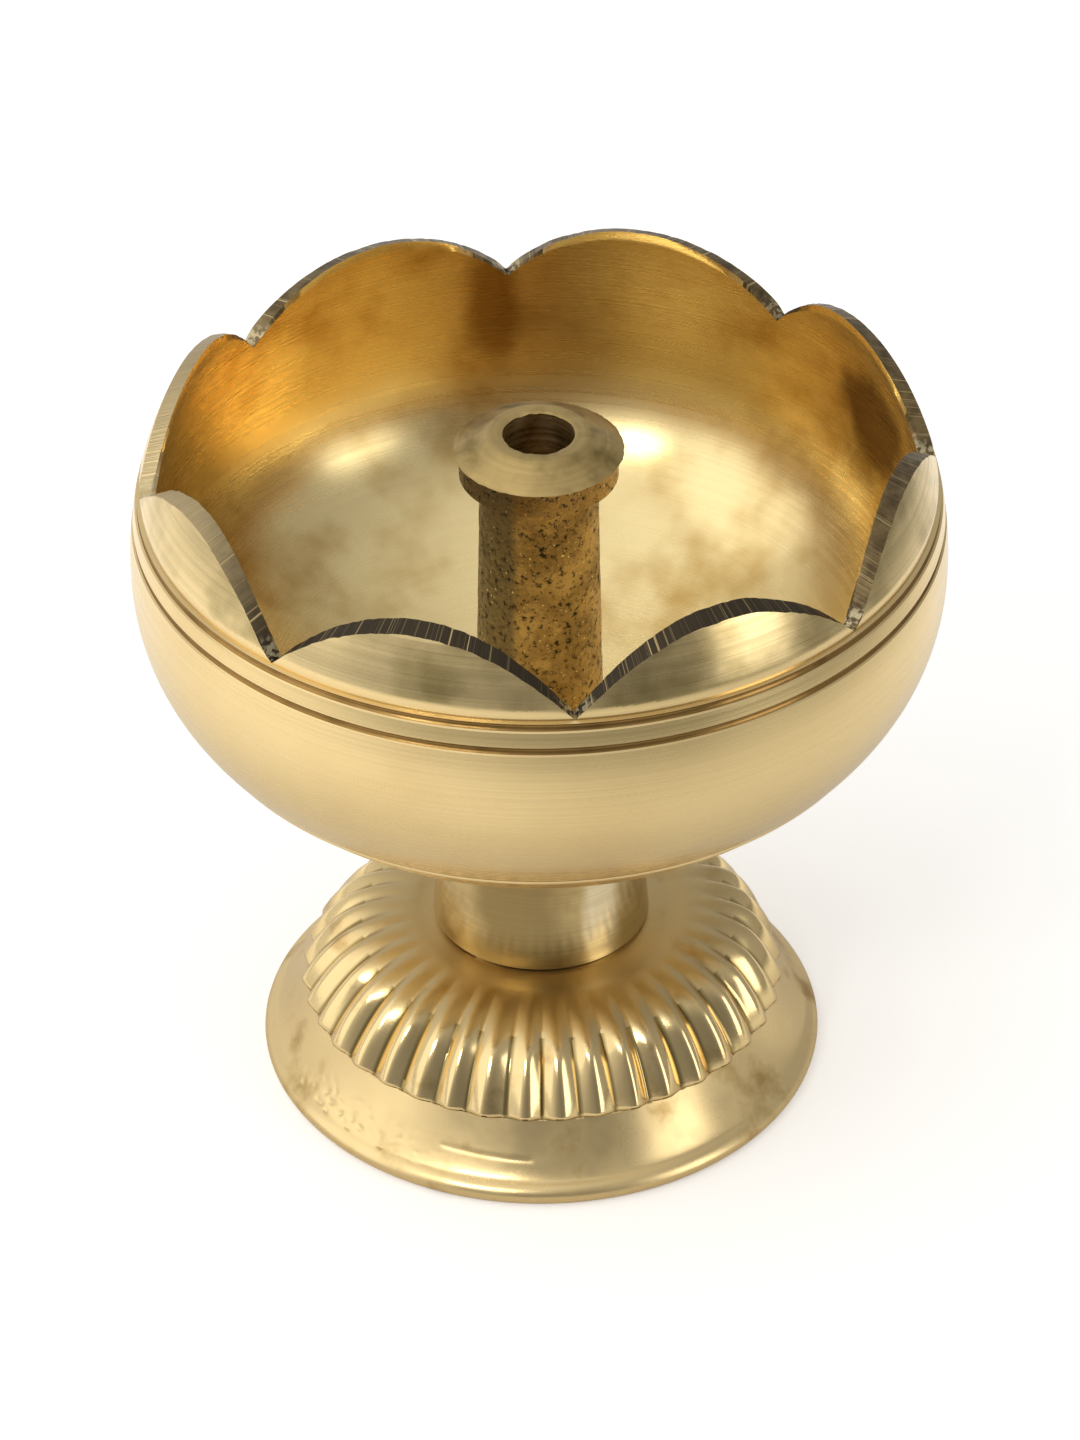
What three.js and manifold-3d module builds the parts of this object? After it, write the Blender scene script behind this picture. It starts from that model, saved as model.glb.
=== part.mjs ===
// Diya oil lamp: a lotus-rimmed brass bowl on a short stem and a gadrooned foot.
// A hollow wick holder stands in the bowl. Its threaded tail runs down through a sealing
// washer and the bowl's floor into the stem, and a hex bolt from below holds the stem to the foot.
// Millimetres, +Z up, origin on the table under the middle of the foot, front of the lamp at -Y.

import * as THREE from 'three';
import Module from 'manifold-3d';
import { mergeVertices } from 'three/addons/utils/BufferGeometryUtils.js';

const wasm = await Module();
wasm.setup();

// ---- Fits shared by every joint ---------------------------------------------------------

const SEAT_GAP = 0.05;            // film of air between two faces that rest on each other
const THREAD_RADIUS = 2.85;       // outside of the threaded tail and of the bolt's shank
const THREAD_CLEARANCE = 0.1;     // radial room round a thread in its tapped hole
const PASSING_CLEARANCE = 0.35;   // radial room round a thread in a plain hole

// ---- Foot -------------------------------------------------------------------------------

const FOOT_RADIUS = 25.1;         // widest point of the rolled lip
const FOOT_HEIGHT = 14.2;         // table to the seat of the stem
const LIP_HEIGHT = 2.1;           // height of the rolled lip
const LIP_BULGE = 0.8;            // how far the lip stands out past its own edges
const LIP_CREASE = 0.25;          // step in from the lip to the flange
const FLANGE_WIDTH = 4.1;         // lip inwards to the ring of gadroons
const FLANGE_TOP = 6.8;           // height where the sloping flange meets the gadroons
const FLANGE_HOLLOW = 1.15;       // above 1 the flange is slightly hollow, at 1 it is a cone
const GADROON_COUNT = 40;
const GADROON_DEPTH = 0.75;       // how far a rib stands out of the valleys beside it
const GADROON_FULLNESS = 0.7;     // below 1 the ribs are round and the valleys narrow
const COVE_WIDTH = 2.55;          // plain ring between the stem and the ribs
const COVE_DROP = 0.2;            // fall of that ring from the stem to the ribs
const FOOT_WALL = 2.0;            // thickness of the cast shell
const FOOT_CEILING = 3.2;         // thickness of the flat crown that the bolt clamps
const BOLT_LANDING = 8.0;         // radius of the flat face inside for the bolt's washer

// ---- Stem -------------------------------------------------------------------------------

const STEM_HEIGHT = 14.8;
const STEM_FOOT_RADIUS = 9.65;    // radius on the foot
const STEM_WAIST_RADIUS = 9.2;    // narrowest radius, near mid height
const STEM_TOP_RADIUS = 9.9;      // radius under the bowl
const STEM_CHAMFER = 0.3;

// ---- Bowl -------------------------------------------------------------------------------

const BOWL_RADIUS = 35.0;         // widest radius, at the belly
const BELLY_RISE = 24.0;          // seat of the bowl to its belly
const SEAT_PROUD = 0.6;           // how far the seat stands down from the round underside
const SEAT_LAND = 0.7;            // how far the seat reaches out past the stem
const BELLY_BULGE = 1.11;         // powers that set the round of the belly, 1 and 1 is an ellipse
const BELLY_FLATNESS = 0.91;
const RIM_RISE = 13.0;            // belly to the outer tips of the petals
const CROWN_SPAN = 32.0;          // half height of the ellipse that the rim follows
const BOWL_WALL = 1.5;
const FLOOR_THICKNESS = 3.0;
const PETAL_COUNT = 8;
const NOTCH_DEPTH = 5.95;         // tips down to the notches between petals
const NOTCH_TURN = 4.8;           // degrees from the front to the nearest notch
const CUT_FALL = 0.62;            // outward fall of the sawn edge across the wall
const GROOVE_LEAD = 0.65;         // notches down to the upper groove
const GROOVE_SPACING = 2.1;       // upper groove down to the lower one
const GROOVE_WIDTH = 0.8;
const GROOVE_DEPTH = 0.3;

// ---- Wick holder ------------------------------------------------------------------------

const HOLDER_HEIGHT = 31.9;       // shoulder to the top of the head
const COLUMN_BASE_RADIUS = 5.6;
const COLUMN_TOP_RADIUS = 5.05;
const HEAD_RIM_RADIUS = 7.36;
const HEAD_DISC_RADIUS = 6.8;     // side of the head under its overhanging rim
const HEAD_DISC_HEIGHT = 2.4;
const HEAD_RIM_THICKNESS = 0.3;
const HEAD_CONE_HEIGHT = 1.58;    // rim up to the flat round the bore
const HEAD_FLAT_RADIUS = 4.3;
const WICK_BORE_RADIUS = 3.08;
const WICK_BORE_DEPTH = 14.0;
const TAIL_CHAMFER = 0.5;

// ---- Washers and bolt -------------------------------------------------------------------

const SEAL_RADIUS = 6.6;
const SEAL_THICKNESS = 1.0;
const SEAL_LAND = 0.8;            // flat floor left round the seal
const WASHER_RADIUS = 6.4;
const WASHER_THICKNESS = 1.2;
const BOLT_FLATS = 10.0;          // hex head across its flats
const BOLT_HEAD_HEIGHT = 4.0;
const THREAD_END_GAP = 2.2;       // room between the bolt and the tail, inside the stem

// ---- Sizes and heights that follow from those above -------------------------------------

const GADROON_RADIUS = FOOT_RADIUS - FLANGE_WIDTH;
const CROWN_RADIUS = STEM_FOOT_RADIUS + COVE_WIDTH;
const CROWN_HEIGHT = FOOT_HEIGHT - COVE_DROP;
const SEAT_RADIUS = STEM_TOP_RADIUS + SEAT_LAND;
const TAPPED_RADIUS = THREAD_RADIUS + THREAD_CLEARANCE;
const PASSING_RADIUS = THREAD_RADIUS + PASSING_CLEARANCE;
const STEM_BASE = FOOT_HEIGHT + SEAT_GAP;
const STEM_TOP = STEM_BASE + STEM_HEIGHT;
const BOWL_SEAT = STEM_TOP + SEAT_GAP;
const BOWL_FLOOR = BOWL_SEAT + FLOOR_THICKNESS;
const BELLY = BOWL_SEAT + BELLY_RISE;
const PETAL_TIP = BELLY + RIM_RISE;
const UPPER_GROOVE = PETAL_TIP - NOTCH_DEPTH - GROOVE_LEAD;
const LOWER_GROOVE = UPPER_GROOVE - GROOVE_SPACING;
const PETAL_ROOT = UPPER_GROOVE + GROOVE_WIDTH / 2;
const SEAL_BASE = BOWL_FLOOR + SEAT_GAP;
const SHOULDER = SEAL_BASE + SEAL_THICKNESS + SEAT_GAP;
const HOLDER_TOP = SHOULDER + HOLDER_HEIGHT;
const THREAD_REACH = (STEM_HEIGHT - THREAD_END_GAP) / 2;
const TAIL_END = STEM_TOP - THREAD_REACH;
const BOLT_END = STEM_BASE + THREAD_REACH;
const CEILING = FOOT_HEIGHT - FOOT_CEILING;
const WASHER_TOP = CEILING - SEAT_GAP;
const BOLT_SEAT = WASHER_TOP - WASHER_THICKNESS - SEAT_GAP;

// ---- Facets -----------------------------------------------------------------------------

const BOWL_SIDES = 10 * PETAL_COUNT;
const FOOT_SIDES = 4 * GADROON_COUNT;
const SMALL_STEP = 0.1;           // height of the creases that bound the flange
const TINY = 0.001;
const TURNED_SIDES = 40;
const HEX_SIDES = 6;

// ---- Helpers ----------------------------------------------------------------------------

const point = (radius, height) => new THREE.Vector2(radius, height);

// Points of a curve, where at(t) gives the radius and height at t from 0 to 1.
function along(steps, at) {
  return Array.from({ length: steps + 1 }, (_, step) => at(step / steps));
}

const mix = (from, to, t) => from + (to - from) * t;

// Turns a profile of radius and height about +Z, starting at the front of the lamp.
function turned(profile, sides) {
  const spun = new THREE.LatheGeometry(profile, sides);
  spun.rotateX(Math.PI / 2);
  spun.deleteAttribute('normal');
  spun.deleteAttribute('uv');
  return mergeVertices(spun);
}

// A closed ring or tube: the profile ends where it started.
const turnedRing = (profile, sides) => turned([...profile, profile[0].clone()], sides);

// Moves every vertex: change(angle, radius, height) returns the new radius and height.
function reshape(geometry, change) {
  const place = geometry.getAttribute('position');
  for (let i = 0; i < place.count; i += 1) {
    const angle = Math.atan2(place.getX(i), -place.getY(i));
    const radius = Math.hypot(place.getX(i), place.getY(i));
    const moved = change(angle, radius, place.getZ(i));
    place.setXYZ(i, moved.radius * Math.sin(angle), -moved.radius * Math.cos(angle), moved.height);
  }
  return geometry;
}

function toManifold(geometry) {
  const vertProperties = new Float32Array(geometry.getAttribute('position').array);
  const triVerts = new Uint32Array(geometry.getIndex().array);
  return new wasm.Manifold(new wasm.Mesh({ numProp: 3, vertProperties, triVerts }));
}

function fromManifold(solid) {
  const mesh = solid.getMesh();
  const geometry = new THREE.BufferGeometry();
  geometry.setAttribute('position', new THREE.BufferAttribute(mesh.vertProperties, 3));
  geometry.setIndex(new THREE.BufferAttribute(mesh.triVerts, 1));
  return geometry;
}

function named(name, geometry, material) {
  geometry.computeVertexNormals();
  const mesh = new THREE.Mesh(geometry, material);
  mesh.name = name;
  return mesh;
}

// ---- Materials --------------------------------------------------------------------------

const metal = (color, roughness) => new THREE.MeshStandardMaterial({ color, roughness, metalness: 1 });

const satinBowlBrass = () => metal(0xd9b871, 0.32);
const satinStemBrass = () => metal(0xc9ac72, 0.36);
const buffedFootBrass = () => metal(0xd2a956, 0.22);
const rawHolderBrass = () => metal(0xa88d55, 0.5);
const platedSteel = () => metal(0xb9bcc0, 0.35);
const sealFibre = () => new THREE.MeshStandardMaterial({ color: 0x6b2a1e, roughness: 0.8, metalness: 0 });

// ---- Foot -------------------------------------------------------------------------------

// Quarter ellipse of the dome, from its lower end (t = 0) up to its crown (t = 1).
function domePoint(t, lowRadius, lowHeight, highRadius, highHeight) {
  const turn = t * Math.PI / 2;
  const radius = mix(highRadius, lowRadius, Math.cos(turn));
  return point(radius, mix(lowHeight, highHeight, Math.sin(turn)));
}

function footOutside() {
  const neck = FOOT_RADIUS - LIP_BULGE;
  const lip = along(4, (t) => point(neck + LIP_BULGE * Math.sin(Math.PI * t), LIP_HEIGHT * t));
  const flange = along(2, (t) => point(
    mix(neck - LIP_CREASE, GADROON_RADIUS, t),
    mix(LIP_HEIGHT + SMALL_STEP, FLANGE_TOP, t ** FLANGE_HOLLOW),
  ));
  const dome = along(7, (t) => domePoint(
    t, GADROON_RADIUS, FLANGE_TOP + SMALL_STEP, CROWN_RADIUS, CROWN_HEIGHT,
  ));
  return [...lip, ...flange, ...dome, point(STEM_FOOT_RADIUS, FOOT_HEIGHT)];
}

function footInside() {
  const skirt = point(GADROON_RADIUS - FOOT_WALL, FLANGE_TOP - FOOT_WALL / 2);
  const dome = along(3, (t) => domePoint(1 - t, skirt.x, skirt.y, BOLT_LANDING, CEILING));
  return [point(PASSING_RADIUS, FOOT_HEIGHT), point(PASSING_RADIUS, CEILING), ...dome,
    point(FOOT_RADIUS - LIP_BULGE - FOOT_WALL, 0)];
}

// Ribs swell out of the dome: none on the flange or the crown, most on the steep lower part.
function gadroonSwell(angle, height) {
  const climb = (height - FLANGE_TOP) / (CROWN_HEIGHT - FLANGE_TOP);
  const rib = Math.abs(Math.sin(angle * GADROON_COUNT / 2)) ** GADROON_FULLNESS;
  return GADROON_DEPTH * rib * (1 - climb ** 3);
}

// The dome is the part of an ellipse that lies outside the cast shell's inner face.
function onDome(radius, height) {
  const reach = (radius - CROWN_RADIUS) / (GADROON_RADIUS - CROWN_RADIUS);
  const rise = (height - FLANGE_TOP - SMALL_STEP) / (CROWN_HEIGHT - FLANGE_TOP - SMALL_STEP);
  return reach > 0 && rise > -TINY && Math.hypot(reach, rise) > 1 - TINY && height < CROWN_HEIGHT;
}

function footGeometry() {
  const foot = turnedRing([...footOutside(), ...footInside()], FOOT_SIDES);
  return reshape(foot, (angle, radius, height) => {
    const swell = onDome(radius, height) ? gadroonSwell(angle, height) : 0;
    const lean = Math.atan2(height - FLANGE_TOP, radius - CROWN_RADIUS);
    return { radius: radius + swell * Math.cos(lean), height: height + swell * Math.sin(lean) };
  });
}

// ---- Stem -------------------------------------------------------------------------------

function stemGeometry() {
  const side = along(6, (t) => {
    const end = mix(STEM_FOOT_RADIUS, STEM_TOP_RADIUS, t);
    const waist = Math.sin(Math.PI * t);
    return point(
      mix(end, STEM_WAIST_RADIUS, waist),
      mix(STEM_BASE + STEM_CHAMFER, STEM_TOP - STEM_CHAMFER, t),
    );
  });
  return turnedRing([
    point(TAPPED_RADIUS, STEM_BASE),
    point(STEM_FOOT_RADIUS - STEM_CHAMFER, STEM_BASE),
    ...side,
    point(STEM_TOP_RADIUS - STEM_CHAMFER, STEM_TOP),
    point(TAPPED_RADIUS, STEM_TOP),
  ], TURNED_SIDES);
}

// ---- Bowl -------------------------------------------------------------------------------

// Rounded belly: a squared-off quarter ellipse. turn runs from 0 at the belly to 90 degrees
// at the bottom.
function bellyPoint(turn, reach, depth) {
  const radius = reach * Math.cos(turn) ** BELLY_BULGE;
  return point(radius, BELLY - depth * Math.sin(turn) ** BELLY_FLATNESS);
}

const turnAtRadius = (radius, reach) => Math.acos((radius / reach) ** (1 / BELLY_BULGE));

// Outside radius of the bowl above its belly.
const crownRadius = (height) => BOWL_RADIUS * Math.sqrt(1 - ((height - BELLY) / CROWN_SPAN) ** 2);

// Height of the sawn rim at an angle: round-topped petals that meet in sharp notches.
function rimHeight(angle) {
  const pitch = 2 * Math.PI / PETAL_COUNT;
  const turn = (angle - THREE.MathUtils.degToRad(NOTCH_TURN)) / pitch;
  const across = 2 * (turn - Math.floor(turn)) - 1;
  const halfChord = crownRadius(PETAL_ROOT) * Math.sin(pitch / 2);
  const arcRadius = (halfChord ** 2 + NOTCH_DEPTH ** 2) / (2 * NOTCH_DEPTH);
  return PETAL_TIP - arcRadius + Math.sqrt(arcRadius ** 2 - (across * halfChord) ** 2);
}

function groove(middle) {
  return [-1, 0, 1].map((side) => {
    const height = middle + side * GROOVE_WIDTH / 2;
    return point(crownRadius(height) - (side === 0 ? GROOVE_DEPTH : 0), height);
  });
}

function bowlOutside() {
  const start = turnAtRadius(SEAT_RADIUS, BOWL_RADIUS);
  const belly = along(8, (t) => bellyPoint(start * (1 - t), BOWL_RADIUS, BELLY_RISE + SEAT_PROUD));
  const petals = along(4, (t) => mix(PETAL_ROOT, PETAL_TIP, t)).slice(1);
  return [
    point(SEAT_RADIUS, BOWL_SEAT),
    ...belly,
    ...groove(LOWER_GROOVE),
    ...groove(UPPER_GROOVE),
    ...petals.map((height) => point(crownRadius(height), height)),
  ];
}

function bowlInside() {
  const petals = along(4, (t) => mix(PETAL_TIP, PETAL_ROOT, t));
  const reach = BOWL_RADIUS - BOWL_WALL;
  const floorRadius = SEAL_RADIUS + SEAL_LAND;
  const start = turnAtRadius(floorRadius, reach);
  return [
    point(crownRadius(PETAL_TIP) - BOWL_WALL, PETAL_TIP + CUT_FALL),
    ...petals.slice(1).map((height) => point(crownRadius(height) - BOWL_WALL, height)),
    ...along(6, (t) => bellyPoint(start * t, reach, BELLY - BOWL_FLOOR)),
    point(floorRadius - SMALL_STEP, BOWL_FLOOR),
    point(PASSING_RADIUS, BOWL_FLOOR),
  ];
}

// Above the petal roots every ring is drawn down to the sawn rim, following the wall's lean.
function bowlGeometry() {
  const bowl = turnedRing([point(PASSING_RADIUS, BOWL_SEAT), ...bowlOutside(), ...bowlInside()], BOWL_SIDES);
  bowl.rotateZ(THREE.MathUtils.degToRad(NOTCH_TURN));
  return reshape(bowl, (angle, radius, height) => {
    if (height <= PETAL_ROOT) return { radius, height };
    const share = (height - PETAL_ROOT) / (PETAL_TIP - PETAL_ROOT);
    const lowered = PETAL_ROOT + share * (rimHeight(angle) - PETAL_ROOT);
    return { radius: radius + crownRadius(lowered) - crownRadius(height), height: lowered };
  });
}

// ---- Wick holder ------------------------------------------------------------------------

function holderGeometry() {
  const rim = HOLDER_TOP - HEAD_CONE_HEIGHT;
  const discBottom = rim - HEAD_DISC_HEIGHT;
  return turned([
    point(0, TAIL_END),
    point(THREAD_RADIUS - TAIL_CHAMFER, TAIL_END),
    point(THREAD_RADIUS, TAIL_END + TAIL_CHAMFER),
    point(THREAD_RADIUS, SHOULDER),
    point(COLUMN_BASE_RADIUS, SHOULDER),
    point(COLUMN_TOP_RADIUS, discBottom),
    point(HEAD_DISC_RADIUS, discBottom),
    point(HEAD_DISC_RADIUS, rim - HEAD_RIM_THICKNESS),
    point(HEAD_RIM_RADIUS, rim),
    point(HEAD_FLAT_RADIUS, HOLDER_TOP),
    point(WICK_BORE_RADIUS, HOLDER_TOP),
    point(WICK_BORE_RADIUS, HOLDER_TOP - WICK_BORE_DEPTH),
    point(0, HOLDER_TOP - WICK_BORE_DEPTH - WICK_BORE_RADIUS / 2),
  ], TURNED_SIDES);
}

// ---- Washers and bolt -------------------------------------------------------------------

function ringGeometry(inner, outer, base, thickness) {
  return turnedRing([
    point(inner, base),
    point(outer, base),
    point(outer, base + thickness),
    point(inner, base + thickness),
  ], TURNED_SIDES);
}

function boltGeometry() {
  const shank = turned([
    point(0, BOLT_SEAT - BOLT_HEAD_HEIGHT / 2),
    point(THREAD_RADIUS, BOLT_SEAT - BOLT_HEAD_HEIGHT / 2),
    point(THREAD_RADIUS, BOLT_END - TAIL_CHAMFER),
    point(THREAD_RADIUS - TAIL_CHAMFER, BOLT_END),
    point(0, BOLT_END),
  ], TURNED_SIDES);
  const corner = BOLT_FLATS / 2 / Math.cos(Math.PI / HEX_SIDES);
  const head = turned([
    point(0, BOLT_SEAT - BOLT_HEAD_HEIGHT),
    point(corner, BOLT_SEAT - BOLT_HEAD_HEIGHT),
    point(corner, BOLT_SEAT),
    point(0, BOLT_SEAT),
  ], HEX_SIDES);
  return fromManifold(toManifold(head).add(toManifold(shank)));
}

// ---- Assembly ---------------------------------------------------------------------------

function diyaLamp() {
  const lamp = new THREE.Group();
  const washer = ringGeometry(PASSING_RADIUS, WASHER_RADIUS, WASHER_TOP - WASHER_THICKNESS, WASHER_THICKNESS);
  lamp.add(
    named('foot', footGeometry(), buffedFootBrass()),
    named('foot_washer', washer, platedSteel()),
    named('foot_bolt', boltGeometry(), platedSteel()),
    named('stem', stemGeometry(), satinStemBrass()),
    named('bowl', bowlGeometry(), satinBowlBrass()),
    named('seal_washer', ringGeometry(PASSING_RADIUS, SEAL_RADIUS, SEAL_BASE, SEAL_THICKNESS), sealFibre()),
    named('wick_holder', holderGeometry(), rawHolderBrass()),
  );
  return lamp;
}

export default diyaLamp();
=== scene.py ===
# %% [markdown]
# A diya oil lamp in brass, piece by piece
#
# The lamp is four brass pieces on one upright axis: a cast foot with a ring of ribs, a turned
# stem, a turned bowl whose rim is sawn into eight petals, and a hollow holder for the wick. A
# bolt, a washer and a fibre seal hold them together. The fixed model comes first, because every
# piece takes its place and size from it.

# %% Load the fixed model
import math

import bpy
from mathutils import Matrix, Vector, noise


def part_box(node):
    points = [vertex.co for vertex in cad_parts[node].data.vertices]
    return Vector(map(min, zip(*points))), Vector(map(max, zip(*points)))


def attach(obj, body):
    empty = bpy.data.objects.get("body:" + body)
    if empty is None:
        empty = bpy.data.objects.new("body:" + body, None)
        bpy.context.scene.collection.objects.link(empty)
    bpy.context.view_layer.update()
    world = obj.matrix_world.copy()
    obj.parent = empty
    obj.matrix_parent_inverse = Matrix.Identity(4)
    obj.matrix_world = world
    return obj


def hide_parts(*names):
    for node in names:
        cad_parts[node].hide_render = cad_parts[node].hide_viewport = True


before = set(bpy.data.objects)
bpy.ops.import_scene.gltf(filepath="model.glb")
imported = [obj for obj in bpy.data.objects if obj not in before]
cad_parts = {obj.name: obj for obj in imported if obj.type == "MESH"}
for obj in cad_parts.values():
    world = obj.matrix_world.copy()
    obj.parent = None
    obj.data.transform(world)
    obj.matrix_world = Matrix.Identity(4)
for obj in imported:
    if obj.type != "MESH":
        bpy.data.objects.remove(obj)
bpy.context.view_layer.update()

MM = 0.001


# %% [markdown]
# The camera and the room
#
# The camera looks down at the lamp from well above, with a long lens from about half a metre, so
# the near petals don't loom. Aiming it at a point on the lamp's axis and giving the angle and
# distance as plain numbers keeps it easy to change.

# %% Camera
CAMERA_ELEVATION = 36.8      # degrees above the table
CAMERA_DISTANCE = 520.8      # millimetres from the aim point
CAMERA_LENS = 148.7          # millimetres of focal length on a 36 mm frame
AIM_HEIGHT = 34.8            # millimetres up the lamp's axis
CAMERA_ROLL = 0.28           # degrees, the hand-held tilt of the frame


def make_camera():
    """A camera on the front side of the lamp, looking down at its axis."""
    lift = math.radians(CAMERA_ELEVATION)
    back = Vector((0, -math.cos(lift), math.sin(lift)))
    camera = bpy.data.objects.new("camera", bpy.data.cameras.new("camera"))
    bpy.context.scene.collection.objects.link(camera)
    camera.data.lens = CAMERA_LENS
    camera.data.sensor_width = 36
    camera.data.clip_start = 0.01
    camera.location = Vector((0, 0, AIM_HEIGHT * MM)) + back * CAMERA_DISTANCE * MM
    aimed = (-back).to_track_quat("-Z", "Y").to_matrix()
    rolled = aimed @ Matrix.Rotation(math.radians(-CAMERA_ROLL), 3, "Z")
    camera.rotation_euler = rolled.to_euler()
    bpy.context.scene.camera = camera


make_camera()


# %% [markdown]
# Tools for turned pieces
#
# A lathe makes a round piece from a profile, and Blender's spin does the same. Each profile here
# starts as one vertex of a plane, is drawn by extruding from point to point, and is then spun
# about the lamp's axis. That keeps every ring of the surface in order, which helps later when
# rings are shaped into petals or ribs.

# %% Profile helpers
WELD = 0.002                 # millimetres: spun points closer than this become one


def mix(start, end, t):
    """The value a share t of the way from start to end."""
    return start + (end - start) * t


def along(steps, place):
    """Points place(t) for t from 0 to 1."""
    return [place(step / steps) for step in range(steps + 1)]


def straight(start, end, steps):
    """Points on a line, without its first point."""
    return [(mix(start[0], end[0], t / steps), mix(start[1], end[1], t / steps))
            for t in range(1, steps + 1)]


def deselect_all():
    if bpy.context.object and bpy.context.object.mode != "OBJECT":
        bpy.ops.object.mode_set(mode="OBJECT")
    bpy.ops.object.select_all(action="DESELECT")


def draw_profile(name, points):
    """One vertex of a plane, extruded from point to point in the XZ plane (millimetres)."""
    deselect_all()
    bpy.ops.mesh.primitive_plane_add(size=MM, location=(0, 0, 0))
    piece = bpy.context.object
    piece.name = name
    piece.data.name = name
    bpy.ops.object.mode_set(mode="EDIT")
    bpy.ops.mesh.merge(type="CENTER")
    here = Vector((0, 0, 0))
    for number, (radius, height) in enumerate(points):
        there = Vector((radius * MM, 0, height * MM))
        if number == 0:
            bpy.ops.transform.translate(value=there - here)
        else:
            bpy.ops.mesh.extrude_vertices_move(TRANSFORM_OT_translate={"value": there - here})
        here = there
    return piece


def turn(name, points, steps):
    """Draws a profile and spins it a full turn about the lamp's axis."""
    piece = draw_profile(name, points)
    bpy.ops.mesh.select_all(action="SELECT")
    bpy.ops.mesh.spin(steps=steps, angle=math.tau, center=(0, 0, 0), axis=(0, 0, 1))
    bpy.ops.mesh.select_all(action="SELECT")
    bpy.ops.mesh.remove_doubles(threshold=WELD * MM)
    bpy.ops.mesh.normals_make_consistent(inside=False)
    bpy.ops.object.mode_set(mode="OBJECT")
    return piece


def move_vertices(piece, change):
    """change(angle, radius, height) gives a vertex's new angle, radius and height in mm.
    The angle runs from the front of the lamp towards its right."""
    for vertex in piece.data.vertices:
        x, y, z = vertex.co / MM
        angle, radius, height = change(math.atan2(x, -y), math.hypot(x, y), z)
        vertex.co = Vector((radius * math.sin(angle), -radius * math.cos(angle), height)) * MM
    piece.data.update()


def paint_faces(piece, materials, choose):
    """Gives each face the material number that choose(angle, radius, height, normal) returns."""
    for material in materials:
        piece.data.materials.append(material)
    for face in piece.data.polygons:
        x, y, z = face.center / MM
        face.material_index = choose(math.atan2(x, -y), math.hypot(x, y), z, face.normal)


def finish_piece(piece, node, body, crease=40):
    """Smooths the shading, hangs the piece on its body and lets it stand for its CAD node."""
    deselect_all()
    piece.select_set(True)
    bpy.context.view_layer.objects.active = piece
    bpy.ops.object.shade_smooth_by_angle(angle=math.radians(crease))
    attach(piece, body)
    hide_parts(node)
    size = piece.dimensions / MM
    print(piece.name, "faces", len(piece.data.polygons), "mm", [round(side, 2) for side in size])


def wobble(x, y, z, seed=0.0):
    """Smooth noise between about -1 and 1, the same every run."""
    return noise.noise(Vector((x + seed, y - seed, z + 0.5 * seed)))


def box_sizes(node):
    """Outer radius, lowest and highest point of a CAD node, in millimetres."""
    low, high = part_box(node)
    return (high.x - low.x) / 2 / MM, low.z / MM, high.z / MM


# %% [markdown]
# Materials come from a small set of nodes
#
# Every brass here is the same metal with a different surface, so one function adds a node and
# another turns a hex colour into Blender's linear numbers. Colours that are the same all over
# go straight on the shader's sockets. A metal's base colour is what it reflects of white light:
# for this yellow brass that is a pale, warm straw, and it deepens to gold and orange only where
# light bounces from brass to brass inside the bowl.

# %% Material helpers
BRASS = "#e6cb93"
TOOL_MARK_SWAY = 0.35        # how much a tool ring changes on its way round, in noise cells


def linear(hex_colour):
    """An sRGB hex value as linear RGBA."""
    parts = [int(hex_colour[i:i + 2], 16) / 255 for i in (1, 3, 5)]
    return [c / 12.92 if c <= 0.04045 else ((c + 0.055) / 1.055) ** 2.4 for c in parts] + [1.0]


def add(tree, kind, settings=None, links=None):
    """Adds a node: settings are properties or socket values, links are socket -> output."""
    node = tree.nodes.new(kind)
    for key, value in (settings or {}).items():
        if isinstance(key, str) and hasattr(node, key):
            setattr(node, key, value)
        else:
            node.inputs[key].default_value = value
    for key, output in (links or {}).items():
        tree.links.new(output, node.inputs[key])
    return node


def new_material(name, settings):
    """A material with its shader; settings are values for the shader's sockets."""
    material = bpy.data.materials.new(name)
    material.use_nodes = True
    tree = material.node_tree
    shader = tree.nodes["Principled BSDF"]
    for key, value in settings.items():
        shader.inputs[key].default_value = value
    return material, tree, shader


def blotches(tree, size_mm, detail=3.0, roughness=0.55, seed=0.0):
    """Cloudy noise with features of about the given size."""
    place = add(tree, "ShaderNodeTexCoord").outputs["Object"]
    return add(tree, "ShaderNodeTexNoise",
               {"noise_dimensions": "4D", "W": seed, "Scale": 1 / (size_mm * MM), "Detail": detail,
                "Roughness": roughness}, {"Vector": place}).outputs["Fac"]


def tool_rings(tree, spacing_mm, seed=0.0):
    """Noise in fine rings about the lamp's axis, as a cutting tool leaves on a lathe."""
    place = add(tree, "ShaderNodeTexCoord").outputs["Object"]
    flat = add(tree, "ShaderNodeVectorMath", {"operation": "MULTIPLY", 1: (1, 1, 0)},
               {0: place}).outputs["Vector"]
    radius = add(tree, "ShaderNodeVectorMath", {"operation": "LENGTH"}, {0: flat}).outputs["Value"]
    around = add(tree, "ShaderNodeVectorMath", {"operation": "NORMALIZE"}, {0: flat}).outputs["Vector"]
    swayed = add(tree, "ShaderNodeVectorMath", {"operation": "SCALE", "Scale": TOOL_MARK_SWAY},
                 {0: around}).outputs["Vector"]
    per_metre = 1 / (spacing_mm * MM)
    vector = add(tree, "ShaderNodeVectorMath", {"operation": "MULTIPLY_ADD", 1: (0, 0, per_metre)},
                 {0: place, 2: swayed}).outputs["Vector"]
    across = add(tree, "ShaderNodeMath", {"operation": "MULTIPLY_ADD", 1: per_metre, 2: seed},
                 {0: radius}).outputs["Value"]
    return add(tree, "ShaderNodeTexNoise", {"noise_dimensions": "4D", "Scale": 1.0, "Detail": 2.0},
               {"Vector": vector, "W": across}).outputs["Fac"]


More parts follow.
